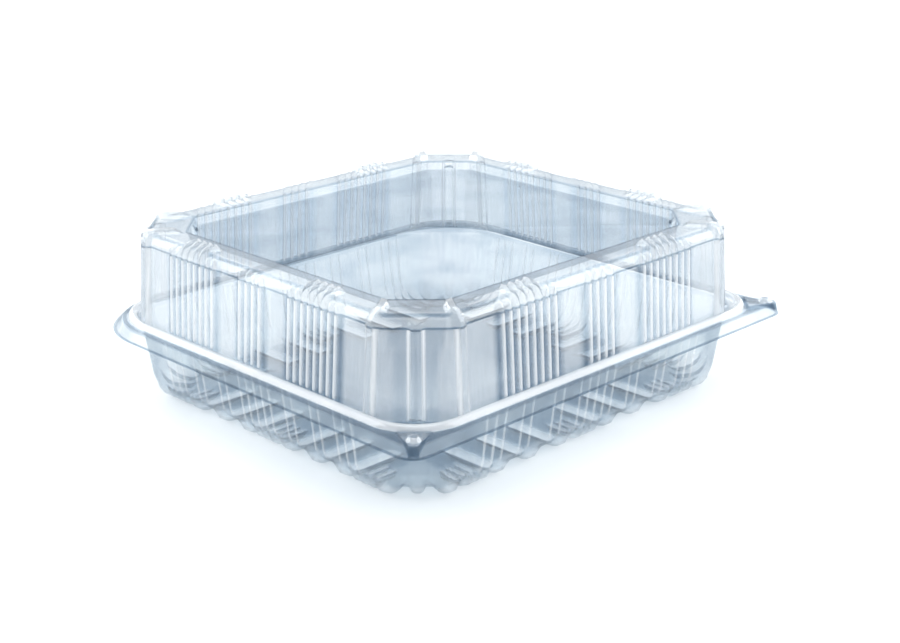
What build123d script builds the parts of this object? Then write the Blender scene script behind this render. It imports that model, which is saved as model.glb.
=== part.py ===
"""Clear thermoformed clamshell pack: a ribbed octagonal lid hinged to a shallow tray.

The pack stands on the ribs pressed into the tray's floor, at z = 0. X runs along the hinge,
the hinge is at +Y, and the pointed lift tabs are at the two front corners, at -Y.
Each half is one sheet of even thickness: its outer form less the same form drawn in by the sheet.
"""

import os
from math import atan2, cos, degrees, radians, sin, sqrt, tan

from build123d import *

# Sheet, and the running gap between the closed lid and the tray
sheet = 0.45
nest_gap = 0.35

# Lid walls, on their outer faces: half size along X and corner leg at the wall's foot.
# Every wall octagon is shorter along Y than along X by the same amount.
foot_half_x = 102.1
spread = 8.0
foot_leg = 19.3
wall_draft = 3.6
ledge_z = 34.6
lid_top_z = 74.2
shoulder_radius = 4.6

# Recessed top panel: flat border round it outside, and a corner leg of its own
panel_border = 10.5
panel_leg = 15.7
panel_depth = 3.4
panel_lean = 0.8

# Wall ribs: two wide groups and one narrow group on each wall, all rounding the shoulder
rib_foot = 3.3
rib_crest = 1.5
rib_height = 1.4
rib_lift = 1.8
wide_place = 0.5
wide_pitch_x = 4.15
wide_pitch_y = 3.85
narrow_pitch_x = 4.45
narrow_pitch_y = 4.1
tall_reach = 9.6
knuckle_rise = 1.0
least_crest = 1.2

# Corner ribs: one at each end of a corner wall, and one on its middle
corner_rib_foot = 6.2
corner_rib_crest = 3.4
corner_rib_height = 1.9
corner_rib_setback = 4.2
middle_rib_foot = 7.0
middle_rib_crest = 3.4

# Rim: a half-round bead round the wall's foot, a ledge and a sloping skirt
bead_radius = 2.35
bead_stand_x = 2.5
bead_stand_y = 1.9
bead_front_corner = 21.0
bead_rear_corner = 29.0
brim_stand_x = 9.2
brim_stand_y = 8.4
brim_front_corner = 8.0
brim_rear_corner = 38.0
skirt_drop = 3.8

# Lift tabs at the front corners: a raised pad that carries a press stud, drawn with twelve sides
pad_height = 1.4
pad_width = 13.0
pad_length = 12.5
pad_tip_width = 4.0
stud_radius = 3.1
stud_height = 1.5

# Tray: its mouth sits inside the lid's walls, and its floor stands clear on pressed ribs
mouth_inset = 1.5
mouth_leg = 20.4
floor_z = 2.6
floor_inset = 12.4
bend_inset = 5.6
bend_rise = 7.2

# Floor ribs: long ones in threes, short ones in clusters and three at each corner
long_places_x = (0.192, 0.431, 0.671)
long_places_y = (0.197, 0.441, 0.686)
long_foot = 8.4
long_crest = 4.2
long_reach = 21.5
short_places_x = (0, 0.846)
short_places_y = (0, 0.872)
short_pitch = 4.4
short_foot = 3.6
short_crest = 1.0
short_reach = 9.0
middle_foot = 6.6
middle_crest = 3.0
corner_turn = 19.0

# Hinge film along the straight part of the rear edge
film_thickness = 0.3
film_reach = 0.85
film_sag = 0.8
film_clearance = 0.12
film_end_inset = 2.0

# Worked out from the sizes above
shrink = 2 - sqrt(2)
nest = sheet + nest_gap
brim_foot_z = ledge_z - skirt_drop
wall_run = tan(radians(wall_draft))
crease_z = lid_top_z - shoulder_radius
crease_half_x = foot_half_x - (crease_z - ledge_z) * wall_run
crease_leg = foot_leg - (foot_half_x - crease_half_x) * shrink
bend = shoulder_radius * (1 - cos(radians(45)))
border_half_x = crease_half_x - shoulder_radius
panel_half_x = border_half_x - panel_border
wall_straight = foot_half_x - foot_leg
wide_centre_x = wall_straight * wide_place
wide_centre_y = (wall_straight - spread) * wide_place
bead_half_x = foot_half_x + bead_stand_x
bead_half_y = foot_half_x - spread + bead_stand_y
brim_half_x = bead_half_x + brim_stand_x
brim_half_y = bead_half_y + brim_stand_y
foot_point = (foot_half_x + (ledge_z - brim_foot_z) * wall_run, brim_foot_z)
rib_point = (foot_half_x - rib_lift * wall_run, ledge_z + rib_lift)
crease_point = (crease_half_x, crease_z)
round_point = (crease_half_x - bend, lid_top_z - bend)
knee_point = (crease_half_x - (shoulder_radius - 2 * bend) * wall_run, lid_top_z - 2 * bend)
brow_point = (crease_half_x - 2 * bend, lid_top_z)
border_point = (border_half_x, lid_top_z)
panel_point = (panel_half_x, lid_top_z)
mouth_z = ledge_z - nest
mouth_half_x = foot_half_x - mouth_inset
floor_half_x = mouth_half_x - floor_inset
floor_leg = mouth_leg - floor_inset * shrink
floor_straight = floor_half_x - floor_leg
floor_point = (floor_half_x, floor_z)
bend_point = (mouth_half_x - bend_inset, floor_z + bend_rise)
mouth_point = (mouth_half_x, mouth_z)
hinge_length = 2 * (brim_half_x - brim_rear_corner - film_end_inset)
hinge_y = brim_half_y - nest / 2 - sheet / 2
hinge_z = brim_foot_z - film_clearance


def drawn_in(points, inset):
    """Section line with each run moved to its left by the inset, and both ends drawn back by it."""
    ways = [(Vector(*end) - Vector(*start)).normalized() for start, end in zip(points, points[1:])]
    squares = [Vector(-way.Y, way.X) for way in ways]
    moved = [Vector(*points[0]) + (ways[0] + squares[0]) * inset]
    for point, before, after in zip(points[1:], squares, squares[1:]):
        moved.append(Vector(*point) + (before + after) * (inset / (1 + before.dot(after))))
    moved.append(Vector(*points[-1]) + (squares[-1] - ways[-1]) * inset)
    return [(spot.X, spot.Y) for spot in moved]


def octagon(half_x, half_y, leg):
    """Rectangle with the same 45 degree leg cut from each corner."""
    with BuildSketch(mode=Mode.PRIVATE) as plan:
        Rectangle(2 * half_x, 2 * half_y)
        chamfer(plan.vertices(), leg)
    return plan.sketch


def slab(low, high, leg):
    """Octagonal slab between two (half size, height) points, with walls that lean from one to the other."""
    lean = degrees(atan2(low[0] - high[0], high[1] - low[1]))
    with BuildPart(mode=Mode.PRIVATE) as layer:
        with BuildSketch(Plane.XY.offset(low[1])):
            add(octagon(low[0], low[0] - spread, leg))
        extrude(amount=high[1] - low[1])
        walls = layer.faces().filter_by(lambda face: abs(face.normal_at().Z) < 0.1)
        draft(walls, neutral_plane=Plane.XY.offset(low[1]), angle=lean)
    return layer.part


def stacked(section, leg):
    """Slabs up a rising section line, with the given corner leg at its first point."""
    return [
        slab(low, high, leg - (section[0][0] - low[0]) * shrink)
        for low, high in zip(section, section[1:])
    ]


def swept_rib(path, foot, crest, height, inset):
    """Rib with sloping sides, swept along (x, y, z) points on the face that it stands on.

    A narrow crest, as on the inner side of a wall rib, is drawn to a ridge.
    """
    slope = atan2((foot - crest) / 2, height)
    narrowed = inset * (1 - sin(slope)) / cos(slope)
    half_crest = crest / 2 - narrowed
    half_root = foot - crest / 2 - narrowed
    top = [(-half_crest, -height), (half_crest, -height)] if 2 * half_crest > least_crest else [(0, -height)]
    with BuildPart(mode=Mode.PRIVATE) as rib:
        with BuildLine() as route:
            Polyline(*path)
        with BuildSketch(Plane(origin=route.line @ 0, x_dir=(1, 0, 0), z_dir=route.line % 0)):
            with BuildLine():
                Polyline((-half_root, height), *top, (half_root, height), close=True)
            make_face()
        sweep(path=route.line, transition=Transition.RIGHT)
    return rib.part


def on_front(line, x=0.0):
    """Section line stood up on the front wall, at the given place along it."""
    return [(x, spread - out, z) for out, z in line]


def round_walls(rib, steps_x, steps_y):
    """Copies of a front wall's rib on all four walls, at steps from each wall's middle."""
    front = [Pos(x, 0, 0) * rib for x in steps_x]
    side = [Rotation(0, 0, 90) * Pos(y, -spread, 0) * rib for y in steps_y]
    return front + side + [Rotation(0, 0, 180) * item for item in front + side]


def turned_to(rib, angle, out, target):
    """The front wall's rib turned about Z, with its point at that distance out brought to the target."""
    moved = Vector(0, spread - out, 0).rotate(Axis.Z, angle)
    return Pos(target[0] - moved.X, target[1] - moved.Y, 0) * Rotation(0, 0, angle) * rib


def in_all_corners(ribs):
    """Ribs of the front right corner and their mirror images in the other three."""
    right = ribs + [mirror(rib, about=Plane.XZ) for rib in ribs]
    return right + [mirror(rib, about=Plane.YZ) for rib in right]


def across_corner(rib):
    """A front wall's rib mirrored over the line that halves the front right corner."""
    return mirror(rib, about=Plane(origin=(spread, 0, 0), z_dir=(1, 1, 0)))


def about(centre, steps):
    """Places at the steps on both sides of a centre, and of its mirror image when it has one."""
    centres = {centre, -centre}
    return sorted({place + side * step for place in centres for step in steps for side in (-1, 1)})


def brim_plan(half_x, half_y, front, rear):
    """Rectangle with its own corner radius at the front and at the rear."""
    with BuildSketch(mode=Mode.PRIVATE) as plan:
        Rectangle(2 * half_x, 2 * half_y)
        fillet(plan.vertices().group_by(Axis.Y)[0], front)
        fillet(plan.vertices().group_by(Axis.Y)[-1], rear)
    return plan.sketch


def rim_mass(inset):
    """Brim with its sloping skirt, bead, tab pads and studs, all faces drawn in by the inset."""
    below = brim_foot_z - skirt_drop
    radius = bead_radius - inset
    bead_plan = brim_plan(bead_half_x, bead_half_y, bead_front_corner, bead_rear_corner)
    bead_line = (Pos(0, 0, ledge_z) * bead_plan).face().outer_wire()
    with BuildPart(mode=Mode.PRIVATE) as rim:
        with BuildSketch(Plane.XY.offset(below)):
            add(
                brim_plan(
                    brim_half_x - inset,
                    brim_half_y - inset,
                    brim_front_corner - inset,
                    brim_rear_corner - inset,
                )
            )
        extrude(amount=ledge_z - inset - below)
        chamfer(rim.faces().sort_by(Axis.Z)[-1].edges(), skirt_drop - inset * shrink)

        with BuildSketch(Plane(origin=bead_line @ 0, x_dir=(0, 0, 1), z_dir=bead_line % 0)):
            with BuildLine():
                Polyline(
                    (-inset - 0.4, -radius),
                    (0, -radius),
                    (radius * 0.87, -radius * 0.5),
                    (radius * 0.87, radius * 0.5),
                    (0, radius),
                    (-inset - 0.4, radius),
                    close=True,
                )
            make_face()
        sweep(path=bead_line)

        for side in (-1, 1):
            corner = Location((side * (bead_half_x + 1.2), -bead_half_y - 1.0, 0), (0, 0, side * 45))
            with BuildSketch(Plane(corner).offset(below)):
                with BuildLine():
                    Polyline(
                        (-pad_width / 2 + inset, pad_length / 2 - inset),
                        (-pad_tip_width / 2 + inset, -pad_length / 2 + inset),
                        (pad_tip_width / 2 - inset, -pad_length / 2 + inset),
                        (pad_width / 2 - inset, pad_length / 2 - inset),
                        close=True,
                    )
                make_face()
            extrude(amount=ledge_z + pad_height - inset - below)
            with BuildSketch(Plane(corner).offset(ledge_z - inset)):
                RegularPolygon(stud_radius - inset, 12)
            extrude(amount=pad_height + stud_height)
    return rim.part


def lid_mass(inset):
    """The lid's walls, shoulder, ribs and rim as one solid, all faces drawn in by the inset."""
    wall = drawn_in([foot_point, crease_point, round_point, border_point, panel_point], inset)
    wall[0] = (wall[0][0], brim_foot_z)

    # Ribs are hollow up the wall and solid where they round the shoulder
    nodes = 2 if inset else 4
    short_line = drawn_in([rib_point, knee_point, brow_point], inset)[:nodes]
    short_rib = swept_rib(on_front(short_line), rib_foot, rib_crest, rib_height, inset)

    knuckle = (brow_point[0], lid_top_z + knuckle_rise)
    tall_end = (crease_half_x - tall_reach, lid_top_z - knuckle_rise / 2)
    tall_line = drawn_in([rib_point, knee_point, knuckle, tall_end], inset)[:nodes]
    tall_rib = swept_rib(on_front(tall_line), rib_foot, rib_crest, rib_height, inset)

    corner_x = crease_half_x - crease_leg - corner_rib_setback
    corner_line = drawn_in([rib_point, knee_point, brow_point, panel_point], inset)
    corner_path = on_front(corner_line, corner_x)
    corner_path[-1] = (panel_half_x - panel_leg, spread - panel_half_x + 1.0, corner_path[-1][2])
    corner_path = corner_path[:nodes]
    corner_rib = swept_rib(corner_path, corner_rib_foot, corner_rib_crest, corner_rib_height, inset)

    middle_line = drawn_in([(foot_half_x, ledge_z), knee_point, round_point], inset)
    middle_rib = swept_rib(on_front(middle_line), middle_rib_foot, middle_rib_crest, corner_rib_height, inset)
    middle = (crease_half_x - crease_leg / 2, spread - crease_half_x + crease_leg / 2)
    corner_set = [corner_rib, across_corner(corner_rib), turned_to(middle_rib, 45, crease_half_x, middle)]

    slope = panel_lean / panel_depth
    recess = [
        (panel_half_x - panel_lean + inset, lid_top_z - panel_depth - inset),
        (panel_half_x + inset + 3 * slope, lid_top_z + 3),
    ]
    outer_x = (2.5 * wide_pitch_x, 3.5 * wide_pitch_x)
    outer_y = (2.5 * wide_pitch_y, 3.5 * wide_pitch_y)
    inner_x = (0.5 * wide_pitch_x, 1.5 * wide_pitch_x)
    inner_y = (0.5 * wide_pitch_y, 1.5 * wide_pitch_y)
    narrow_x = (0.5 * narrow_pitch_x, 1.5 * narrow_pitch_x)
    narrow_y = (0.5 * narrow_pitch_y, 1.5 * narrow_pitch_y)
    ribs = round_walls(short_rib, about(wide_centre_x, outer_x), about(wide_centre_y, outer_y))
    ribs += round_walls(tall_rib, about(wide_centre_x, inner_x), about(wide_centre_y, inner_y))
    ribs += round_walls(short_rib, about(0, narrow_x), about(0, narrow_y))
    with BuildPart(mode=Mode.PRIVATE) as mass:
        add([rim_mass(inset)] + stacked(wall[:4], foot_leg), clean=False)
        add(ribs + in_all_corners(corner_set), clean=False)
        add(stacked(recess, panel_leg), mode=Mode.SUBTRACT, clean=False)
    return mass.part


def cup_mass(inset):
    """The tray's floor, walls and floor ribs as one solid, all faces drawn in by the inset."""
    wall = drawn_in([(0, floor_z), floor_point, bend_point, mouth_point], inset)
    wall[-1] = (mouth_half_x - inset, mouth_z)

    fade = (bend_point[0] - 1.2, bend_point[1] + 1.2)
    # Floor ribs are hollow along the floor and solid where they fade into the wall
    nodes = 2 if inset else 3
    long_line = drawn_in([(floor_half_x - long_reach, floor_z), floor_point, fade], inset)[:nodes]
    long_rib = swept_rib(on_front(long_line), long_foot, long_crest, floor_z, inset)
    short_line = drawn_in([(floor_half_x - short_reach, floor_z), floor_point, fade], inset)[:nodes]
    short_rib = swept_rib(on_front(short_line), short_foot, short_crest, floor_z, inset)
    middle_rib = swept_rib(on_front(short_line), middle_foot, middle_crest, floor_z, inset)

    vertex = (floor_half_x - floor_leg, spread - floor_half_x)
    side_rib = turned_to(long_rib, corner_turn, floor_half_x, vertex)
    middle = (floor_half_x - floor_leg / 2, spread - floor_half_x + floor_leg / 2)
    corner_set = [side_rib, across_corner(side_rib), turned_to(middle_rib, 45, floor_half_x, middle)]

    long_x = [place * floor_straight for place in long_places_x]
    long_y = [place * (floor_straight - spread) for place in long_places_y]
    ribs = round_walls(long_rib, about(0, long_x), about(0, long_y))
    for place_x, place_y in zip(short_places_x, short_places_y):
        along_x = about(place_x * floor_straight, (0, short_pitch))
        along_y = about(place_y * (floor_straight - spread), (0, short_pitch))
        ribs += round_walls(short_rib, along_x, along_y)
    with BuildPart(mode=Mode.PRIVATE) as cup:
        add(stacked(wall[1:], floor_leg), clean=False)
        add(ribs + in_all_corners(corner_set), clean=False)
    return cup.part


under_rim = Pos(0, 0, brim_foot_z - skirt_drop) * Box(
    3 * brim_half_x, 3 * brim_half_y, 2 * skirt_drop, mode=Mode.PRIVATE
)

with BuildPart() as lid:
    add(lid_mass(0), clean=False)
    add(lid_mass(sheet), mode=Mode.SUBTRACT, clean=False)
    add(under_rim, mode=Mode.SUBTRACT, clean=False)

with BuildPart() as base_tray:
    add(rim_mass(nest), clean=False)
    add(rim_mass(nest + sheet), mode=Mode.SUBTRACT, clean=False)
    add(under_rim, mode=Mode.SUBTRACT, clean=False)
    add(cup_mass(0), clean=False)
    add(cup_mass(sheet), mode=Mode.SUBTRACT, clean=False)

with BuildPart() as living_hinge:
    with BuildSketch(Plane.YZ.offset(-hinge_length / 2)):
        with BuildLine():
            Polyline(
                (hinge_y - film_reach, hinge_z),
                (hinge_y - film_reach / 2, hinge_z - film_sag),
                (hinge_y + film_reach / 2, hinge_z - film_sag),
                (hinge_y + film_reach, hinge_z),
                (hinge_y + film_reach - film_thickness, hinge_z),
                (hinge_y + film_reach / 2 - film_thickness / 2, hinge_z - film_sag + film_thickness),
                (hinge_y - film_reach / 2 + film_thickness / 2, hinge_z - film_sag + film_thickness),
                (hinge_y - film_reach + film_thickness, hinge_z),
                close=True,
            )
        make_face()
    extrude(amount=hinge_length)

lid.part.label = "lid"
base_tray.part.label = "base_tray"
living_hinge.part.label = "living_hinge"

os.makedirs("parts", exist_ok=True)
export_step(lid.part, "parts/lid.step")
export_step(base_tray.part, "parts/base_tray.step")
export_step(living_hinge.part, "parts/living_hinge.step")
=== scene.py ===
from math import cos, hypot, pi, radians, sin, sqrt, tan

import bmesh
import bpy
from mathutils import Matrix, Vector
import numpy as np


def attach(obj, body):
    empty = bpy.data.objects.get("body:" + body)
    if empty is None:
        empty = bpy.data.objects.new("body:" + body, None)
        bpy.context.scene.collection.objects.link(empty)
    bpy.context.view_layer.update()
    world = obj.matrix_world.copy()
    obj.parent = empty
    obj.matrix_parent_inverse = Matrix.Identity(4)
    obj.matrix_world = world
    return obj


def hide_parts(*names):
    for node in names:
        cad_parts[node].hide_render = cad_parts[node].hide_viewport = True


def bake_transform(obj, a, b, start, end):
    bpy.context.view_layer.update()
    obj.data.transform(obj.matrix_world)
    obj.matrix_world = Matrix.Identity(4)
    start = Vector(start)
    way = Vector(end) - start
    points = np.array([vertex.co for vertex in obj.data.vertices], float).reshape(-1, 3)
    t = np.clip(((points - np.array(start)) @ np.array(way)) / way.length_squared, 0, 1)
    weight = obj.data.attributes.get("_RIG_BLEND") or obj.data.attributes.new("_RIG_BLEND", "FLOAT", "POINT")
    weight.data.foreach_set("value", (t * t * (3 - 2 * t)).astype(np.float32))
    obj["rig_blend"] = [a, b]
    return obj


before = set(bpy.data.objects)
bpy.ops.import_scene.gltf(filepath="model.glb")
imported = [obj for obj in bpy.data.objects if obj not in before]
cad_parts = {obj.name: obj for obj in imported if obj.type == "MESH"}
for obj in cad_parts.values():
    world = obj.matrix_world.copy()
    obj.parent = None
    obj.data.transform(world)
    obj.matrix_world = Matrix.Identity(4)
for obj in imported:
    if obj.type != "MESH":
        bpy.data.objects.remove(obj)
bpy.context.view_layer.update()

mm = 0.001

# The pieces' sizes are in millimetres and degrees. A pair is for X and Y, or for the sides along X and those
# along Y. Places along a side end at the seams, where a corner's own steps begin.
seams = (74, 65)


# Small helpers

def smoothStep(low, high, value):
    # 0 below low, 1 above high, and a soft rise between
    share = min(1.0, max(0.0, (value - low) / (high - low)))
    return share * share * (3 - 2 * share)


def bump(distance, crest, foot):
    # 1 on the crest of a rib, 0 past its foot, with rounded sides
    return 1 - smoothStep(crest / 2, foot / 2, abs(distance))


def linearColour(hexCode):
    parts = [int(hexCode[i:i + 2], 16) / 255 for i in (1, 3, 5)]
    return [p / 12.92 if p <= 0.04045 else ((p + 0.055) / 1.055) ** 2.4 for p in parts] + [1.0]


def addNode(tree, kind, settings=None, inputs=None, links=None):
    # settings are the node's own fields, inputs are numbers, links are (input, from node, from output)
    node = tree.nodes.new(kind)
    for key, value in (settings or {}).items():
        setattr(node, key, value)
    for key, value in (inputs or {}).items():
        node.inputs[key].default_value = value
    for key, source, output in (links or []):
        tree.links.new(source.outputs[output], node.inputs[key])
    return node


def addMath(tree, operation, *terms, clamp=False):
    # a term is a number or a (node, output) pair
    numbers = {place: term for place, term in enumerate(terms) if not isinstance(term, tuple)}
    links = [(place, *term) for place, term in enumerate(terms) if isinstance(term, tuple)]
    return addNode(tree, "ShaderNodeMath", {"operation": operation, "use_clamp": clamp}, numbers, links)


def addNoise(tree, scale, detail, source, output):
    inputs = {"Scale": scale, "Detail": detail}
    return addNode(tree, "ShaderNodeTexNoise", inputs=inputs, links=[("Vector", source, output)])


def addRange(tree, fromRange, top, source):
    # 0 at the range's low end, top at its high end
    limits = {1: fromRange[0], 2: fromRange[1], 3: 0.0, 4: top}
    return addNode(tree, "ShaderNodeMapRange", inputs=limits, links=[(0, source, 0)])


def mixed(first, second, share):
    return [a + (b - a) * share for a, b in zip(first, second)]


# Plan curves of the pack: a half size in X and Y, and a corner that is cut at 45 degrees or round.
# A place on a curve is ("x", x), ("y", y) or ("c", t) with t from 0 to 2 round the corner.

def cutCorner(halfX, halfY, leg, seamX, seamY, share, soften, t):
    # point on a corner cut at 45 degrees, whose two bends are softened by a radius
    if t > 1:
        x, y = cutCorner(halfY, halfX, leg, seamY, seamX, share, soften, 2 - t)
        return y, x
    bend = halfX - leg
    run = (t / share - 1) * (bend - seamX) if t < share else (t - share) / (1 - share) * leg / sqrt(2)
    reach = soften * tan(pi / 8)
    if abs(run) < reach:
        angle = (run + reach) / (2 * reach) * pi / 4
        return bend - reach + soften * sin(angle), halfY - soften + soften * cos(angle)
    if run < 0:
        return bend + run, halfY
    return bend + run / sqrt(2), halfY - run / sqrt(2)


def roundCorner(halfX, halfY, radius, seamX, seamY, t):
    if t > 1:
        x, y = roundCorner(halfY, halfX, radius, seamY, seamX, 2 - t)
        return y, x
    straight = halfX - radius - seamX
    length = t * (straight + radius * pi / 4)
    if length < straight:
        return seamX + length, halfY
    angle = (length - straight) / radius
    return halfX - radius + radius * sin(angle), halfY - radius + radius * cos(angle)


def octagonCurve(halfX, halfY, leg, soften=2.2, seamGap=9.0, squeeze=(58, 54), runShare=0.4):
    # seamGap is the straight run left before the cut; places past squeeze are moved so that they end at it;
    # runShare of a corner's steps lie on the straight run
    seamX, seamY = halfX - leg - seamGap, halfY - leg - seamGap
    fromX, fromY = squeeze

    def place(kind, value, rear):
        if kind == "x":
            x = value if value < fromX else fromX + (value - fromX) * (seamX - fromX) / (seams[0] - fromX)
            return x, halfY
        if kind == "y":
            y = value if value < fromY else fromY + (value - fromY) * (seamY - fromY) / (seams[1] - fromY)
            return halfX, y
        return cutCorner(halfX, halfY, leg, seamX, seamY, runShare, soften, value)

    return place


def roundedCurve(halfX, halfY, frontRadius, rearRadius):
    def place(kind, value, rear):
        if kind == "x":
            return value, halfY
        if kind == "y":
            return halfX, value
        return roundCorner(halfX, halfY, rearRadius if rear else frontRadius, *seams, value)

    return place


def betweenCurves(first, second, share):
    def place(kind, value, rear):
        x1, y1 = first(kind, value, rear)
        x2, y2 = second(kind, value, rear)
        return x1 + (x2 - x1) * share, y1 + (y2 - y1) * share

    return place


def ringPlaces(alongX, alongY, cornerSteps):
    # one turn round the pack: (kind, value, sign of X, sign of Y), from the front's middle through +X;
    # cornerSteps go up to the middle of a corner and are mirrored past it
    corner = [*cornerSteps, 1.0, *(2 - t for t in reversed(cornerSteps))]
    quarter = [("x", x) for x in alongX] + [("c", t) for t in corner]
    quarter += [("y", y) for y in reversed(alongY)]
    turn = [(kind, value, 1, -1) for kind, value in quarter]
    turn += [(kind, value, 1, 1) for kind, value in reversed(quarter[:-1])]
    turn += [(kind, value, -1, 1) for kind, value in quarter[1:]]
    turn += [(kind, value, -1, -1) for kind, value in reversed(quarter[1:-1])]
    return turn


def sweptSheet(bm, places, stations):
    # a ring of points is extruded from station to station; each station is (curve, z, name of its run)
    ring = bmesh.ops.create_circle(bm, cap_ends=False, radius=1, segments=len(places))["verts"]
    rows = []
    for number, (curve, z, run) in enumerate(stations):
        if number:
            edges = [bm.edges.get((ring[i], ring[i - 1])) for i in range(len(ring))]
            grown = set(
                item
                for item in bmesh.ops.extrude_edge_only(bm, edges=edges)["geom"]
                if isinstance(item, bmesh.types.BMVert)
            )
            ring = [
                next(e.other_vert(old) for e in old.link_edges if e.other_vert(old) in grown) for old in ring
            ]
        for vert, (kind, value, signX, signY) in zip(ring, places):
            x, y = curve(kind, value, signY > 0)
            vert.co = Vector((signX * x, signY * y, z))
        rows.append(ring)
    return rows


def closedSheet(turn, stations):
    # a swept sheet in a new bmesh with the sheet's values, closed by one face, with its outside up
    bm = bmesh.new()
    for name in sheetLayers:
        bm.verts.layers.float.new(name)
    rows = sweptSheet(bm, turn, stations)
    last = rows[-1]
    bmesh.ops.contextual_create(bm, geom=[bm.edges.get((last[i], last[i - 1])) for i in range(len(turn))])
    bmesh.ops.recalc_face_normals(bm, faces=bm.faces)
    bm.normal_update()
    if sum(f.normal.z * f.calc_area() for f in bm.faces) < 0:
        bmesh.ops.reverse_faces(bm, faces=bm.faces)
        bm.normal_update()
    return bm, rows


def evenSteps(start, stop, widest):
    count = max(1, int((stop - start) / widest + 0.999))
    return [start + (stop - start) * i / count for i in range(count)]


def ribSteps(centres, crest, foot):
    # places across each rib, on both sides: foot, middle of the flank, and inside the crest
    reaches = (foot / 2, (foot + crest) / 4, crest / 4)
    return [centre + side * reach for centre in centres for reach in reaches for side in (-1, 1)]


def merged(steps, low, high, gap, widest):
    # sorted places between low and high, none closer than gap and none further than widest
    kept = [low]
    for step in sorted(steps) + [high]:
        if step <= low or step > high:
            continue
        if step - kept[-1] < gap:
            if step == high:
                kept[-1] = high
            continue
        if step - kept[-1] > widest:
            kept += evenSteps(kept[-1], step, widest)[1:]
        kept.append(step)
    return kept


def finishedPiece(name, bm, material, thickness):
    # the bmesh in millimetres becomes a piece in metres, with its thickness set inward from the mesh
    bmesh.ops.scale(bm, vec=(mm, mm, mm), verts=bm.verts)
    for face in bm.faces:
        face.smooth = True
    mesh = bpy.data.meshes.new(name)
    bm.to_mesh(mesh)
    bm.free()
    mesh.materials.append(material)
    piece = bpy.data.objects.new(name, mesh)
    bpy.context.scene.collection.objects.link(piece)
    wall = piece.modifiers.new("sheet thickness", "SOLIDIFY")
    wall.thickness = thickness * mm
    wall.offset = -1
    wall.use_even_offset = False
    return piece


# Materials

# values on a sheet's mesh: how deep the blue-grey tint is, with painted shade where it is set dark, how
# milky, with painted highlights where it is set white, how wet it looks, and where draw lines run
sheetLayers = ("tintAndPaintedShade", "frostAndPaintedHighlight", "wet", "drawn")


def makeClearPet(name, tint):
    # Vacuum-formed clear PET: see-through with a cold blue-grey tint that deepens where the sheet turns away
    # or is drawn thick, and is darkened further as painted shade at creases, edges, rib valleys and in soft
    # patches; a wet gloss, a milky part that paints highlights, soft waves from the mould and fine draw
    # lines up the walls
    material = bpy.data.materials.new(name)
    material.use_nodes = True
    tree = material.node_tree
    tree.nodes.clear()
    spot = addNode(tree, "ShaderNodeTexCoord")
    tintAndPaintedShade, frostAndPaintedHighlight, wet, drawn = (
        addNode(tree, "ShaderNodeAttribute", {"attribute_name": layer}) for layer in sheetLayers
    )
    stretch = {"Scale": (1, 1, tint["streakStretch"])}
    stretched = addNode(tree, "ShaderNodeMapping", inputs=stretch, links=[("Vector", spot, "Object")])
    streaks = addNoise(tree, tint["streakScale"], tint["streakDetail"], stretched, 0)
    drawLines = addMath(tree, "MULTIPLY", (streaks, 0), (drawn, "Fac"))
    waves = addNoise(tree, tint["waveScale"], tint["waveDetail"], spot, "Object")
    height = addMath(tree, "MULTIPLY_ADD", (drawLines, 0), tint["streakShare"], (waves, 0))
    strength = {"Strength": tint["relief"], "Distance": mm}
    relief = addNode(tree, "ShaderNodeBump", inputs=strength, links=[("Height", height, 0)])
    turned = addNode(tree, "ShaderNodeLayerWeight", inputs={"Blend": 0.5}, links=[("Normal", relief, 0)])
    depth = addNode(tree, "ShaderNodeValToRGB", links=[(0, turned, "Facing")])
    ramp = depth.color_ramp
    ramp.elements[0].position, ramp.elements[0].color = 0.0, linearColour(tint["clear"])
    ramp.elements[1].position, ramp.elements[1].color = 1.0, linearColour(tint["edge"])
    for position, colour in tint["between"]:
        ramp.elements.new(position).color = linearColour(colour)
    streakCast = addRange(tree, tint["streakRange"], tint["streakCast"], drawLines)
    # the waves' darker patches are painted shade
    wavePaintedShade = addRange(tree, tint["waveRange"], tint["wavePaintedShade"], waves)
    unevenTintAndShade = addMath(tree, "ADD", (streakCast, 0), (wavePaintedShade, 0))
    wholeTintAndShade = addMath(tree, "ADD", (tintAndPaintedShade, "Fac"), (unevenTintAndShade, 0), clamp=True)
    # ramp from clear to the thick-sheet tint, which also gives the painted shade lines and patches their
    # colour
    shade = addNode(tree, "ShaderNodeValToRGB", links=[(0, wholeTintAndShade, 0)])
    shade.color_ramp.elements[0].color = (1, 1, 1, 1)
    shade.color_ramp.elements[1].color = linearColour(tint["thickTintAndShade"])
    multiply = {"data_type": "RGBA", "blend_type": "MULTIPLY"}
    colour = addNode(tree, "ShaderNodeMix", multiply, {0: 1.0}, [(6, depth, 0), (7, shade, 0)])
    through = addNode(tree, "ShaderNodeBsdfTransparent", links=[("Color", colour, 2)])
    # share of the light that the surface sends back: a mirror part that grows at a glance, and a milky part
    # that is painted highlight where it is set high
    glance = addMath(tree, "POWER", (turned, "Facing"), tint["glancePower"])
    mirrorShare = addMath(tree, "MULTIPLY_ADD", (glance, 0), tint["glanceGloss"], tint["faceGloss"])
    shine = addMath(tree, "MULTIPLY", (mirrorShare, 0), (wet, "Fac"))
    whole = addMath(tree, "ADD", (shine, 0), (frostAndPaintedHighlight, "Fac"), clamp=True)
    mirrorPart = addMath(tree, "DIVIDE", (shine, 0), (whole, 0))
    surface = addNode(
        tree,
        "ShaderNodeBsdfPrincipled",
        inputs={"Base Color": linearColour(tint["gloss"]), "Roughness": tint["roughness"]},
        links=[("Normal", relief, 0), ("Metallic", mirrorPart, 0)],
    )
    blend = addNode(tree, "ShaderNodeMixShader", links=[(0, whole, 0), (1, through, 0), (2, surface, 0)])
    addNode(tree, "ShaderNodeOutputMaterial", links=[("Surface", blend, 0)])
    return material


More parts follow.
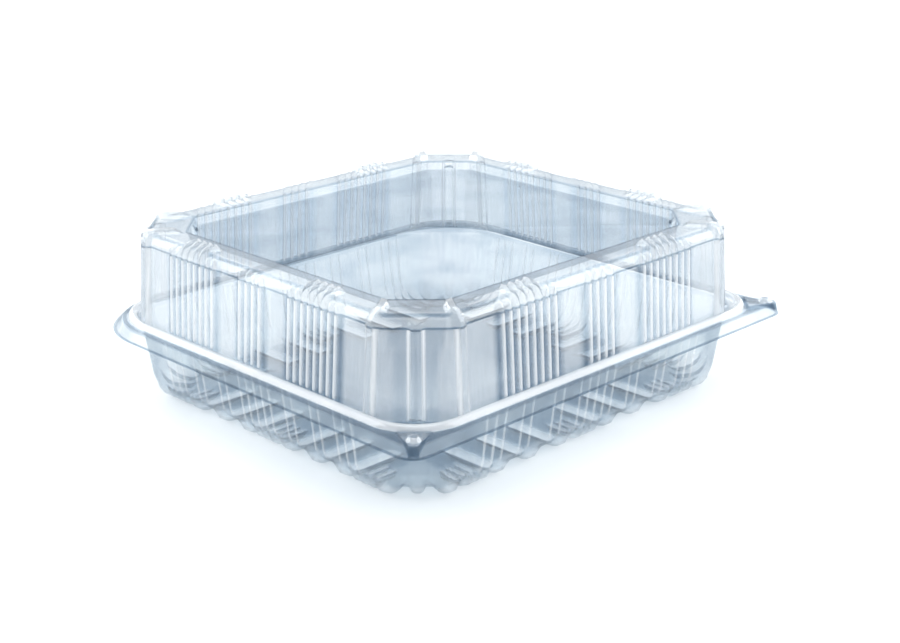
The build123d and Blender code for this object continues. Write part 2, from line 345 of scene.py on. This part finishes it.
petTint = {
    "clear": "#fefefe",
    "between": ((0.35, "#fcfdfd"), (0.66, "#f8f9fa"), (0.85, "#e6eaed")),
    "edge": "#b2bbc4",
    "thickTintAndShade": "#dbe2e8",
    "gloss": "#fafbfc",
    "roughness": 0.06,
    "faceGloss": 0.06,
    "glanceGloss": 0.6,
    "glancePower": 4.0,
    "streakScale": 800,  # about 1.2 mm between draw lines
    "streakDetail": 2,
    "streakStretch": 0.03,
    "streakShare": 0.08,
    "streakRange": (0.35, 0.75),
    "streakCast": 0.2,
    "waveScale": 45,  # soft patches some 22 mm across
    "waveDetail": 1,
    "waveRange": (0.45, 0.75),
    # darkening of the wave patches, painted shade
    "wavePaintedShade": 0.25,
    "relief": 0.2,
}
clearPet = makeClearPet("clear_pet_sheet", petTint)


# Lid

lidSizes = {
    "footHalf": (102.1, 94.1),
    "footLeg": 19.3,
    "draft": 3.6,
    "ledgeZ": 34.6,
    "topZ": 74.2,
    "shoulderRadius": 4.6,
    "panelHalf": (84.8, 76.8),
    "panelLeg": 15.7,
    "panelDepth": 3.4,
    "panelLean": 0.8,
    "panelRound": 0.6,
    "panelSoften": 0.6,
    "panelGap": 3.4,
    "beadRadius": 2.35,
    "beadHalf": (104.6, 96.0),
    "beadCorners": (21, 29),
    "brimHalf": (113.8, 104.4),
    "brimCorners": (8, 38),
    "skirtDrop": 3.8,
    "skirtShares": (0, 0.1, 0.2, 0.5, 0.8, 0.93),
    "ledgeShares": (0.25, 0.5, 0.75, 0.95),
    "beadAngles": (8, 30, 55, 78, 100, 125, 150, 172),
    "wallHeights": (0.35, 0.9, 1.6, 2.4, 3.4, 5.5, 10, 15, 20, 25, 30, 33, 34.4),
    "shoulderAngles": (8, 20, 34, 48),
    "browAngles": (62, 76),
    "borderShares": (0.08, 0.18, 0.32, 0.46, 0.62, 0.8, 0.93),
    "sheet": 0.34,
    "widePlace": (41.4, 37.4),
    "widePitch": (4.15, 3.85),
    "narrowPitch": (4.45, 4.1),
    "ribCrest": 1.2,
    "ribFoot": 3.7,
    "ribHeight": 1.4,
    "ribStart": (0.6, 2.6),
    "ribReach": 12,
    "wideFade": (0.4, 2.8),
    "narrowFade": (0.4, 3.0),
    "tallFade": (7.8, 10.0),
    "knuckleHeight": 2.45,
    "swellDrop": (5, 0.5),
    "cornerRib": (3.0, 6.4, 1.9),
    "cornerSetback": 4.2,
    "middleRib": (3.2, 7.0, 1.9),
    "middleDrop": (3.6, 1.0),
    "borderCornerReach": 26,
    "chamferBack": 4.5,
    "cornerSteps": (
        *(0.05, 0.09, 0.13, 0.16, 0.19, 0.22, 0.25, 0.28, 0.31, 0.34, 0.37),
        *(0.4, 0.43, 0.48, 0.58, 0.68, 0.74, 0.78, 0.82, 0.87, 0.92, 0.97),
    ),
    # tint with painted shade, milky painted highlight and wet share of each run: the dark skirt edge, ledge,
    # shelf, valley, crease, brow and recess edge are painted shade, the milky bead, crest, flank, knuckle
    # and shoulder are painted highlights
    "finish": {
        "skirtEdge": (1.0, 0.0, 0.3),
        "skirt": (0.1, 0.03, 0.12),
        "ledge": (0.7, 0.02, 0.5),
        "bead": (0.0, 0.3, 1.1),
        "shelf": (0.6, 0.0, 0.8),
        "blank": (0.28, 0.22, 0.3),
        "chamfer": (0.25, 0.12, 0.4),
        "flank": (0.0, 0.5, 1.2),
        "valley": (0.8, 0.0, 0.6),
        "crest": (0.0, 0.4, 1.2),
        "crease": (1.0, 0.0, 0.2),
        "shoulder": (0.05, 0.14, 0.75),
        "brow": (0.6, 0.02, 0.3),
        "knuckle": (0.1, 0.1, 1.2),
        "border": (0.12, 0.06, 0.5),
        "borderCorner": (0.15, 0.08, 0.5),
        "recessEdge": (1.0, 0.0, 0.3),
        "recess": (0.2, 0.03, 0.2),
        "panel": (0.4, 0.02, 0.1),
    },
}


tabSizes = {
    "place": (105.8, 97.0),
    "width": 13.4,
    "tipWidth": 3.6,
    "length": 13.0,
    "height": 1.3,
    "studPlace": 1.2,
    "studRadius": 3.0,
    "studHeight": 1.5,
    "padEdge": (-0.4, 0.8),
    "studEdge": (-1.3, 0.2),
    "reach": 11.0,
    "reachDown": 3.4,
    # place, crest and foot of the painted highlight line at the stud's side and of the painted shade line
    # along the pad's outline
    "sideLine": (-0.7, 0.8, 2.4),
    "outlineLine": (0.1, 0.3, 1.6),
    # tint with painted shade, milky painted highlight and wet share: the outline is a painted dark line, the
    # stud's sides carry painted highlights, and its top a deeper tint
    "outline": (1.0, 0.0, 0.3),
    "pad": (0.3, 0.05, 0.8),
    "studSide": (0.2, 0.2, 1.5),
    "studTop": (0.6, 0.05, 1.0),
}


def raiseTabs(bm, s, ledge, inset):
    # the flange round each front corner gets a finer mesh, then the pad and its press stud are pushed up
    placeX, placeY = s["place"]
    near = set()
    for face in bm.faces:
        middle = face.calc_center_median()
        fromTab = hypot(abs(middle.x) - placeX, middle.y + placeY)
        if fromTab < s["reach"] and ledge - s["reachDown"] < middle.z:
            near.add(face)
    edges = [edge for edge in bm.edges if not near.isdisjoint(edge.link_faces)]
    bmesh.ops.subdivide_edges(bm, edges=edges, cuts=4, use_grid_fill=True)
    tintAndPaintedShade, frostAndPaintedHighlight, wet = (bm.verts.layers.float[name] for name in sheetLayers[:3])
    for vert in bm.verts:
        dx, dy = abs(vert.co.x) - placeX, -vert.co.y - placeY
        if hypot(dx, dy) > s["reach"] or vert.co.z < ledge - s["reachDown"]:
            continue
        out, across = (dx + dy) / sqrt(2), abs(dx - dy) / sqrt(2)
        share = min(1.0, max(0.0, (out + s["length"] / 2) / s["length"]))
        halfWidth = (s["width"] + (s["tipWidth"] - s["width"]) * share) / 2 - inset
        inside = min(halfWidth - across, s["length"] / 2 - inset - out, out + s["length"] / 2 + 1)
        onPad = smoothStep(*s["padEdge"], inside)
        fromStud = hypot(out - s["studPlace"], across)
        studRadius = s["studRadius"] - inset
        low, high = s["studEdge"]
        stud = s["studHeight"] * (1 - smoothStep(studRadius + low, studRadius + high, fromStud))
        if onPad <= 0:
            continue
        lifted = vert.co.z + (ledge + s["height"] + stud - vert.co.z) * onPad
        if lifted > vert.co.z:
            vert.co.z = lifted
            # painted highlight at the stud's side and painted shade along the pad's outline
            side, crest, foot = s["sideLine"]
            onSide = bump(fromStud - studRadius - side, crest, foot)
            outline, crest, foot = s["outlineLine"]
            onOutline = bump(inside - outline, crest, foot)
            finish = s["studTop"] if fromStud < studRadius - 1.2 else s["pad"]
            finish = mixed(finish, s["studSide"], onSide)
            vert[tintAndPaintedShade], vert[frostAndPaintedHighlight], vert[wet] = mixed(finish, s["outline"], onOutline)


def shrunkLeg(leg, inset):
    return leg - inset * (2 - sqrt(2))


def rimStations(s, inset):
    # skirt, ledge and bead of a rim, all drawn in by the inset
    stations = []
    brimX, brimY = (half - inset for half in s["brimHalf"])
    frontR, rearR = (radius - inset for radius in s["brimCorners"])
    drop, foot = s["skirtDrop"], s["ledgeZ"] - s["skirtDrop"]
    cutDrop = drop - inset * (2 - sqrt(2))
    top = s["ledgeZ"] - inset

    def brim(step):
        return roundedCurve(brimX - step, brimY - step, max(frontR - step, 1), rearR - step)

    for share in s["skirtShares"]:
        run = "skirtEdge" if share < 0.15 else "skirt"
        stations.append((brim(cutDrop * share), foot + (top - foot) * share, run))
    stations.append((brim(cutDrop + 0.25), top - 0.02, "ledge"))
    beadR = s["beadRadius"] - inset
    (beadX, beadY), (beadFront, beadRear) = s["beadHalf"], s["beadCorners"]

    def bead(step):
        return roundedCurve(beadX + step, beadY + step, beadFront + step, beadRear + step)

    for share in s["ledgeShares"]:
        stations.append((betweenCurves(brim(cutDrop), bead(beadR), share), top, "ledge"))
    for angle in s["beadAngles"]:
        lift = beadR * sin(radians(angle))
        stations.append((bead(beadR * cos(radians(angle))), top + lift, "bead"))
    return stations, bead(-beadR), top


def lidStations(s):
    stations, beadInside, top = rimStations(s, 0)
    footX, footY = s["footHalf"]
    slope = tan(radians(s["draft"]))
    radius = s["shoulderRadius"]
    creaseZ = s["topZ"] - radius

    def wall(inset):
        return octagonCurve(footX - inset, footY - inset, shrunkLeg(s["footLeg"], inset))

    stations.append((betweenCurves(beadInside, wall(-0.5), 0.5), top, "shelf"))
    stations.append((wall(-0.4), top + 0.05, "shelf"))
    for height in s["wallHeights"]:
        stations.append((wall(height * slope), s["ledgeZ"] + height, "wall"))
    creaseInset = (creaseZ - s["ledgeZ"]) * slope
    stations.append((wall(creaseInset + 0.28), creaseZ - 0.25, "wall"))
    stations.append((wall(creaseInset + 0.02), creaseZ + 0.1, "wall"))
    for angle in (*s["shoulderAngles"], *s["browAngles"], 90):
        inset = creaseInset + radius * (1 - cos(radians(angle)))
        run = "brow" if angle in s["browAngles"] else "shoulder"
        stations.append((wall(inset), creaseZ + radius * sin(radians(angle)), run))
    panelX, panelY = s["panelHalf"]

    def panel(step):
        leg = shrunkLeg(s["panelLeg"], -step)
        return octagonCurve(panelX + step, panelY + step, leg, s["panelSoften"], s["panelGap"])

    for share in s["borderShares"]:
        place = betweenCurves(wall(creaseInset + radius), panel(s["panelRound"]), share)
        stations.append((place, s["topZ"], "border"))
    # down the recess: a rounded lip, the leaning side, a rounded foot, then the panel
    depth, lean, top = s["panelDepth"], s["panelLean"], s["topZ"]
    down = ((0.35, 0.05), (0.0, 0.4), (-lean * 0.5, depth * 0.5))
    down += ((-lean * 0.9, depth - 0.45), (-lean * 1.05 - 0.3, depth - 0.05))
    for step, drop in down:
        stations.append((panel(step), top - drop, "recess"))
    stations.append((panel(-lean - 1.4), top - depth, "panel"))
    return stations


def lidRibHeight(s, x, y, z, kind, run):
    # how far the sheet stands proud at a place, from its distance to each rib;
    # a corner's rib is crest, foot and height
    if run not in ("wall", "shoulder", "brow", "border", "recess"):
        return 0.0
    ledge, top = s["ledgeZ"], s["topZ"]
    a, b = abs(x), abs(y)
    footX, footY = s["footHalf"]
    slope = tan(radians(s["draft"]))
    creaseZ = top - s["shoulderRadius"]
    creaseX = footX - (creaseZ - ledge) * slope
    creaseY = footY - (creaseZ - ledge) * slope
    brow = s["shoulderRadius"]
    low = smoothStep(ledge + s["ribStart"][0], ledge + s["ribStart"][1], z)
    height = 0.0
    leg = shrunkLeg(s["footLeg"], footX - creaseX)
    for side, along, inward in ((0, a, creaseY - b), (1, b, creaseX - a)):
        if (side == 0) != (kind == "x" or (kind == "c" and creaseY - b < creaseX - a)):
            continue
        if inward > s["ribReach"]:
            continue
        straight = (creaseX if side == 0 else creaseY) - leg
        if kind != "c":
            wide, pitch, narrow = s["widePlace"][side], s["widePitch"][side], s["narrowPitch"][side]
            step = (along - wide) / pitch
            if abs(step) < 4.2:
                nearest = min(3.5, max(-3.5, round(step - 0.5) + 0.5))
                shape = bump((step - nearest) * pitch, s["ribCrest"], s["ribFoot"])
                if abs(nearest) < 2:
                    swell = smoothStep(top - s["swellDrop"][0], top - s["swellDrop"][1], z)
                    rise = s["ribHeight"] + (s["knuckleHeight"] - s["ribHeight"]) * swell
                    fade = 1 - smoothStep(*s["tallFade"], inward)
                else:
                    rise = s["ribHeight"]
                    fade = 1 - smoothStep(*s["wideFade"], inward)
                height = max(height, rise * shape * low * fade)
            step = along / narrow
            if abs(step) < 2.2:
                nearest = min(1.5, max(-1.5, round(step - 0.5) + 0.5))
                shape = bump((step - nearest) * narrow, s["ribCrest"], s["ribFoot"])
                fade = 1 - smoothStep(*s["narrowFade"], inward)
                height = max(height, s["ribHeight"] * shape * low * fade)
        crest, foot, tall = s["cornerRib"]
        centre = straight - s["cornerSetback"]
        panelEdge = (creaseX - s["panelHalf"][0]) - s["panelRound"]
        target = (s["panelHalf"][side] - s["panelLeg"]) + s["panelRound"]
        if inward > brow - 1:
            share = min(1.0, (inward - brow + 1) / (panelEdge - brow + 1))
            centre += (target - centre) * share
        fade = 1 - smoothStep(panelEdge - 0.6, panelEdge + 0.2, inward) * 0.9
        if run == "recess":
            fade = 0.0
        fade *= smoothStep(ledge - 0.2, ledge + 0.6, z)
        height = max(height, tall * bump(along - centre, crest, foot) * fade)
    crest, foot, tall = s["middleRib"]
    across = abs((creaseX - a) - (creaseY - b)) / sqrt(2)
    if across < foot and kind == "c":
        fade = 1 - smoothStep(top - s["middleDrop"][0], top - s["middleDrop"][1], z)
        height = max(height, tall * bump(across, crest, foot) * fade)
    return height


def lidFinish(s, spot, run, kind, height):
    # tint with painted shade (how deep the blue-grey is), milky painted highlight (how milky) and wet (share
    # of the gloss) at a place
    finish = s["finish"]
    creaseZ = s["topZ"] - s["shoulderRadius"]
    backX, backY = s["footHalf"][0] - abs(spot.x), s["footHalf"][1] - abs(spot.y)
    if run == "wall":
        if abs(spot.z - creaseZ) < 0.3:
            return finish["crease"]
        onChamfer = backX + backY > s["footLeg"] - 1.5 and min(backX, backY) > s["chamferBack"]
        side = 0 if backY < backX else 1
        along = abs(spot.x) if side == 0 else abs(spot.y)
        inWide = abs(along - s["widePlace"][side]) < 4.1 * s["widePitch"][side]
        inNarrow = along < 2.1 * s["narrowPitch"][side]
        low, high = "chamfer" if onChamfer else "valley" if inWide or inNarrow else "blank", "crest"
    elif run == "recess":
        low = high = "recessEdge" if spot.z > s["topZ"] - 0.2 else "recess"
    elif run in ("shoulder", "brow", "border"):
        low, high = run, "knuckle"
    else:
        low = high = run
    if kind == "c" and run == "wall":  # a wide rib gets painted highlights on its two flanks
        share = height / s["cornerRib"][2]
        share, high = 4 * share * (1 - share), "flank"
    else:
        share = min(1.0, height / s["ribHeight"]) ** 2
    # painted shade: the border darkens slightly towards its corners
    if run == "border" and share < 0.1:
        reach = s["borderCornerReach"]
        nearX, nearY = abs(spot.x) - s["panelHalf"][0] + reach, abs(spot.y) - s["panelHalf"][1] + reach
        return mixed(finish["border"], finish["borderCorner"], smoothStep(0, reach, min(nearX, nearY)))
    return mixed(finish[low], finish[high], share)


def makeLid(s):
    crest, foot = s["ribCrest"], s["ribFoot"]
    places = []
    for side, seam in enumerate(seams):
        wide, pitch, narrow = s["widePlace"][side], s["widePitch"][side], s["narrowPitch"][side]
        centres = [wide + (n - 3.5) * pitch for n in range(8)] + [narrow * 0.5, narrow * 1.5]
        steps = ribSteps(centres, crest, foot)
        steps += [wide + (n - 4) * pitch for n in range(9)] + [narrow, narrow * 2]
        places.append(merged(steps, 0, seam, 0.3, 4.0))
    turn = ringPlaces(*places, s["cornerSteps"])
    stations = lidStations(s)
    bm, rows = closedSheet(turn, stations)
    tintAndPaintedShade, frostAndPaintedHighlight, wet, drawn = (bm.verts.layers.float[name] for name in sheetLayers)
    raised = []
    for ring, (curve, z, run) in zip(rows, stations):
        for vert, (kind, value, signX, signY) in zip(ring, turn):
            height = lidRibHeight(s, *vert.co, kind, run)
            vert[tintAndPaintedShade], vert[frostAndPaintedHighlight], vert[wet] = lidFinish(s, vert.co, run, kind, height)
            vert[drawn] = 1.0 if run == "wall" else 0.0
            if height > 0:
                raised.append((vert, vert.normal.copy(), height))
    for vert, normal, height in raised:
        vert.co += normal * height
    raiseTabs(bm, tabSizes, s["ledgeZ"], 0)
    print("lid ring", len(turn), "stations", len(stations), "faces", len(bm.faces))
    return finishedPiece("lid_sheet", bm, clearPet, s["sheet"])


lidSheet = makeLid(lidSizes)
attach(lidSheet, "cover")
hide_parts("lid")


# Tray

traySizes = {
    "brimHalf": (113.8, 104.4),
    "brimCorners": (8, 38),
    "skirtDrop": 3.8,
    "skirtShares": (0, 0.1, 0.2, 0.5, 0.8, 0.93),
    "ledgeShares": (0.25, 0.5, 0.75, 0.95),
    "beadAngles": (8, 30, 55, 78, 100, 125, 150, 172),
    "ledgeZ": 34.6,
    "beadRadius": 2.35,
    "beadHalf": (104.6, 96.0),
    "beadCorners": (21, 29),
    "nest": 0.8,
    "sheet": 0.45,
    "mouthHalf": (101.3, 93.3),
    "mouthLeg": 19.4,
    "legShrink": 0.46,
    "mouthRound": 1.2,
    "mouthAngles": (0, 30, 60, 76.9),
    "lean": 8.0,
    "wallShares": (0.06, 0.2, 0.4, 0.6, 0.8, 0.92, 1.0),
    "bendRadius": 10.0,
    "bendAngles": (12, 24, 36, 48, 60, 72),
    "bendGapShrink": 0.05,
    "floorTop": 3.05,
    "floorSteps": (1.2, 2.4, 3.6, 5, 6.5, 8, 9.5, 11, 13, 15, 17, 18.5, 20, 21.2, 22.5),
    "middleSteps": (28, 40, 55),
    "floorGap": 5.1,
    "floorGapShrink": 0.18,
    "floorLegShrink": 0.586,
    "floorSoften": 0.3,
    "floorSqueeze": (55.5, 51),
    "leastLeg": 0.8,
    "ribDepth": 2.6,
    "ribRise": (1.0, 5.5),
    "floorHalf": (88.2, 80.2),
    "floorLeg": 13.14,
    "longPlaces": ((14.4, 32.4, 50.4), (13.2, 29.6, 46.0)),
    "longRib": (3.6, 8.0, 21.5),
    "shortPlaces": ((-4.4, 0, 4.4, 59.1, 63.5, 67.9), (-4.4, 0, 4.4, 54.1, 58.5, 62.9)),
    "shortRib": (0.9, 3.8, 9.0),
    "middleRib": (2.6, 6.4, 4.5),
    "cornerReach": 5.0,
    "cornerBack": 14,
    "cornerTurn": 19.0,
    "cornerSteps": (
        *(0.06, 0.12, 0.18, 0.24, 0.3, 0.35, 0.4, 0.45, 0.51),
        *(0.57, 0.63, 0.69, 0.75, 0.8, 0.85, 0.9, 0.95),
    ),
    "flutePlaces": (
        (0, 5.2, 10.4, 20.6, 26.0, 38.6, 43.9, 53.8, 59.0, 64.2),
        (0, 4.7, 9.4, 18.6, 23.5, 34.6, 39.4, 48.6, 53.4, 58.2),
    ),
    "flute": (0.3, 1.2, 0.45),
    "fluteRise": (3, 6),
    # tint with painted shade, milky painted highlight and wet share of each run: the dark floor panels and
    # skirt edge are painted shade, the milky floor ribs and flutes are painted highlights
    "finish": {
        "skirtEdge": (0.6, 0.0, 0.1),
        "skirt": (0.05, 0.01, 0.08),
        "ledge": (0.3, 0.02, 0.4),
        "bead": (0.0, 0.06, 0.5),
        "shelf": (0.4, 0.02, 0.3),
        "mouth": (0.5, 0.04, 0.5),
        "wall": (0.25, 0.03, 0.3),
        "bend": (0.25, 0.03, 0.4),
        "floor": (0.75, 0.0, 0.3),
        "rib": (0.0, 0.55, 0.8),
        "ribEnd": (0.1, 0.15, 0.6),
        "corner": (0.45, 0.04, 0.4),
        "flute": (0.0, 0.3, 1.0),
    },
}


def trayStations(s):
    stations, beadInside, top = rimStations(s, s["nest"])
    mouthX, mouthY = s["mouthHalf"]

    def cup(inset, gap=9.0):
        leg = s["mouthLeg"] - s["legShrink"] * inset
        return octagonCurve(mouthX - inset, mouthY - inset, leg, seamGap=gap)

    stations.append((betweenCurves(beadInside, cup(-s["mouthRound"]), 0.6), top, "shelf"))
    radius = s["mouthRound"]
    for angle in s["mouthAngles"]:
        startInset = -radius + radius * sin(radians(angle))
        startZ = top - radius * (1 - cos(radians(angle)))
        stations.append((cup(startInset), startZ, "mouth"))
    slope = tan(radians(s["lean"]))
    bend = s["bendRadius"]
    endZ = s["floorTop"] + bend * (1 - sin(radians(s["lean"])))
    for share in s["wallShares"]:
        z = startZ + (endZ - startZ) * share
        stations.append((cup(startInset + (startZ - z) * slope), z, "wall"))
    wallInset = startInset + (startZ - endZ) * slope
    for angle in (*s["bendAngles"], 90 - s["lean"]):
        turned = radians(s["lean"] + angle)
        inset = wallInset + bend * (cos(radians(s["lean"])) - cos(turned))
        gap = 9.0 - angle * s["bendGapShrink"]
        stations.append((cup(inset, gap), s["floorTop"] + bend * (1 - sin(turned)), "bend"))
    floorInset = wallInset + bend * cos(radians(s["lean"]))
    footX, footY = mouthX - floorInset, mouthY - floorInset
    footLeg = s["mouthLeg"] - s["legShrink"] * floorInset
    for step in s["floorSteps"]:
        gap = s["floorGap"] - step * s["floorGapShrink"]
        leg = max(footLeg - s["floorLegShrink"] * step, s["leastLeg"])
        place = octagonCurve(footX - step, footY - step, leg, s["floorSoften"], gap, s["floorSqueeze"])
        stations.append((place, s["floorTop"], "floor"))
    for step in s["middleSteps"]:
        place = octagonCurve(footX - step, footY - step, s["leastLeg"], s["floorSoften"], 1.0, (0, 0))
        stations.append((place, s["floorTop"], "floor"))
    return stations


def trayRibDepth(s, x, y, z, kind, run):
    # how far the sheet hangs down at a place; ribs run in from the wall and fade out up the bend;
    # a rib is crest, foot and reach
    if run not in ("bend", "floor", "wall"):
        return 0.0
    a, b = abs(x), abs(y)
    halfX, halfY = s["floorHalf"]
    depth = 0.0
    rise = 1 - smoothStep(s["floorTop"] + s["ribRise"][0], s["floorTop"] + s["ribRise"][1], z)
    for side, along, deep in ((0, a, halfY - b), (1, b, halfX - a)):
        if kind == "c" or (kind == "x") != (side == 0):
            continue
        for kindOfRib, places, ending in (("longRib", "longPlaces", 1.0), ("shortRib", "shortPlaces", 0.8)):
            crest, foot, reach = s[kindOfRib]
            fade = 1 - smoothStep(reach - 1.5, reach + ending, deep)
            for centre in s[places][side]:
                depth = max(depth, bump(along - centre, crest, foot) * fade)
    turn = radians(s["cornerTurn"])
    straightX, straightY = halfX - s["floorLeg"], halfY - s["floorLeg"]
    for px, py, tilt in ((straightX, halfY, turn), (halfX, straightY, pi / 2 - turn)):
        dx, dy = px - a, py - b
        inward = dx * sin(tilt) + dy * cos(tilt)
        across = dx * cos(tilt) - dy * sin(tilt)
        crest, foot, _ = s["longRib"]
        if inward > -s["cornerBack"]:
            fade = 1 - smoothStep(s["cornerReach"] - 3.0, s["cornerReach"] + 1.0, inward)
            depth = max(depth, bump(across, crest, foot) * fade)
    dx, dy = halfX - s["floorLeg"] / 2 - a, halfY - s["floorLeg"] / 2 - b
    crest, foot, reach = s["middleRib"]
    inward, across = (dx + dy) / sqrt(2), (dx - dy) / sqrt(2)
    depth = max(depth, bump(across, crest, foot) * (1 - smoothStep(reach - 1.5, reach + 1.0, inward)))
    return s["ribDepth"] * depth * rise


def trayFluteHeight(s, x, y, z, kind, run):
    # fine upright flutes on the tray's walls, fading out into the bend
    if run not in ("wall", "bend") or kind == "c":
        return 0.0
    side = 0 if kind == "x" else 1
    crest, foot, tall = s["flute"]
    along = abs(x) if side == 0 else abs(y)
    shape = max(bump(along - place, crest, foot) for place in s["flutePlaces"][side])
    return tall * shape * smoothStep(s["floorTop"] + s["fluteRise"][0], s["floorTop"] + s["fluteRise"][1], z)


def makeTray(s):
    places = []
    for side, seam in enumerate(seams):
        longCrest, longFoot, _ = s["longRib"]
        shortCrest, shortFoot, _ = s["shortRib"]
        steps = ribSteps(s["longPlaces"][side], longCrest, longFoot)
        steps += ribSteps([c for c in s["shortPlaces"][side] if c >= 0], shortCrest, shortFoot)
        half = s["flute"][1] / 2
        flutes = [place + offset for place in s["flutePlaces"][side] for offset in (-half, 0, half)]
        steps = [step for step in steps if min(abs(step - flute) for flute in flutes) > 0.3] + flutes
        places.append(merged(steps, 0, seam, 0.25, 2.0))
    turn = ringPlaces(*places, s["cornerSteps"])
    stations = trayStations(s)
    bm, rows = closedSheet(turn, stations)
    tintAndPaintedShade, frostAndPaintedHighlight, wet, drawn = (bm.verts.layers.float[name] for name in sheetLayers)
    pressed = []
    for ring, (curve, z, run) in zip(rows, stations):
        for vert, (kind, value, signX, signY) in zip(ring, turn):
            depth = trayRibDepth(s, *vert.co, kind, run)
            height = trayFluteHeight(s, *vert.co, kind, run)
            # floor ribs are set milky white as painted highlights, the floor panels between them dark as
            # painted shade
            share = min(1.0, 1.3 * depth / s["ribDepth"])
            low, high = s["finish"][run], s["finish"]["rib" if run == "floor" and kind != "c" else "ribEnd"]
            if run == "floor" and kind == "c":
                low = high = s["finish"]["corner"]
            if height > 0:
                low, high, share = s["finish"]["wall"], s["finish"]["flute"], height / s["flute"][2]
            vert[tintAndPaintedShade], vert[frostAndPaintedHighlight], vert[wet] = mixed(low, high, share)
            vert[drawn] = 1.0 if run == "wall" else 0.0
            if depth > 0 or height > 0:
                normal = Vector((0, 0, 1)) if run == "floor" else vert.normal.copy()
                pressed.append((vert, normal, max(depth, height)))
    for vert, normal, depth in pressed:
        vert.co -= normal * depth
        vert.co.z = max(vert.co.z, s["sheet"])
    raiseTabs(bm, tabSizes, s["ledgeZ"] - s["nest"], s["nest"])
    print("tray ring", len(turn), "stations", len(stations), "faces", len(bm.faces))
    return finishedPiece("tray_sheet", bm, clearPet, s["sheet"])


traySheet = makeTray(traySizes)
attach(traySheet, "tray")
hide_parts("base_tray")


# Hinge

filmSizes = {
    "length": 147.6,
    "place": (103.775, 30.68),
    "reach": 0.75,
    "sag": 0.8,
    "thickness": 0.3,
    "steps": (24, 10),
    "finish": (0.3, 0.8),  # cast and wet share
}


def makeHingeFilm(s):
    # the thin fold between the two rear skirts, a shallow trough
    hingeY, hingeZ = s["place"]
    bm = bmesh.new()
    for name in sheetLayers:
        bm.verts.layers.float.new(name)
    tintAndPaintedShade, _, wet, _ = (bm.verts.layers.float[name] for name in sheetLayers)
    bmesh.ops.create_grid(bm, x_segments=s["steps"][0], y_segments=s["steps"][1], size=1)
    for vert in bm.verts:
        across = vert.co.y
        vert.co.x *= s["length"] / 2
        vert.co.y = hingeY + across * (s["reach"] - s["thickness"] / 2)
        vert.co.z = hingeZ - s["thickness"] / 2 - (s["sag"] - s["thickness"]) * (1 - across * across)
        vert[tintAndPaintedShade], vert[wet] = s["finish"]
    return finishedPiece("hinge_film", bm, clearPet, s["thickness"])


hingeFilm = makeHingeFilm(filmSizes)
hingeY, hingeZ = (value * mm for value in filmSizes["place"])
hingeReach = filmSizes["reach"] * mm
trayEdge = (0, hingeY - hingeReach, hingeZ)
lidEdge = (0, hingeY + hingeReach, hingeZ)
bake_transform(hingeFilm, "tray", "cover", start=trayEdge, end=lidEdge)
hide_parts("living_hinge")
print("hinge film made")


# Floor, light and camera

stageSizes = {
    "floorSize": 8.0,
    "floorHex": "#f4f5f5",
    "floorRoughness": 0.9,
    "floorSpecular": 0.1,
    "worldHex": "#f1f3f5",
    "worldStrength": 0.92,
}


def makeStage(s):
    bm = bmesh.new()
    bmesh.ops.create_grid(bm, x_segments=1, y_segments=1, size=s["floorSize"] / 2)
    mesh = bpy.data.meshes.new("studio_floor")
    bm.to_mesh(mesh)
    bm.free()
    floor = bpy.data.objects.new("studio_floor", mesh)
    bpy.context.scene.collection.objects.link(floor)
    matte = bpy.data.materials.new("matte_paper")  # seamless paper: pale and without gloss
    matte.use_nodes = True
    shader = matte.node_tree.nodes["Principled BSDF"]
    shader.inputs["Base Color"].default_value = linearColour(s["floorHex"])
    shader.inputs["Roughness"].default_value = s["floorRoughness"]
    shader.inputs["Specular IOR Level"].default_value = s["floorSpecular"]
    mesh.materials.append(matte)
    world = bpy.data.worlds.new("soft_room")
    world.use_nodes = True
    background = world.node_tree.nodes["Background"]
    background.inputs[0].default_value = linearColour(s["worldHex"])
    background.inputs[1].default_value = s["worldStrength"]
    bpy.context.scene.world = world


def makeSoftbox(name, place, target, size, power):
    lamp = bpy.data.lights.new(name, "AREA")
    lamp.shape = "RECTANGLE"
    lamp.size, lamp.size_y = size
    lamp.energy = power
    box = bpy.data.objects.new(name, lamp)
    bpy.context.scene.collection.objects.link(box)
    box.location = place
    box.rotation_euler = (Vector(target) - Vector(place)).to_track_quat("-Z", "Y").to_euler()


# place, target and size in metres, power in watts
softboxes = {
    "softbox_right": ((1.15, -0.4, 0.85), (0, 0, 0.05), (2.6, 1.4), 21),
    "softbox_left": ((-0.4, 1.15, 0.85), (0, 0, 0.05), (2.6, 1.4), 21),
    "softbox_top": ((0, 0, 1.6), (0, 0, 0), (1.2, 1.2), 4),
}
makeStage(stageSizes)
for name, sizes in softboxes.items():
    makeSoftbox(name, *sizes)
print("stage made, lamps:", len(softboxes))

# fitted to the eight-sided edges of panel, shoulder and rim in the photo
view = {
    "place": (-0.46767, -0.47790, 0.26759),
    "elevation": 19.68,
    "azimuth": -44.93,
    "lens": 65.0,
    "sensor": 36,
}
camera = bpy.data.objects.new("photo_camera", bpy.data.cameras.new("photo_camera"))
bpy.context.scene.collection.objects.link(camera)
camera.location = view["place"]
camera.rotation_euler = (radians(90 - view["elevation"]), 0, radians(view["azimuth"]))
camera.data.lens = view["lens"]
camera.data.sensor_width = view["sensor"]
bpy.context.scene.camera = camera
bpy.context.scene.view_settings.view_transform = "Standard"
bpy.context.scene.cycles.transparent_max_bounces = 48
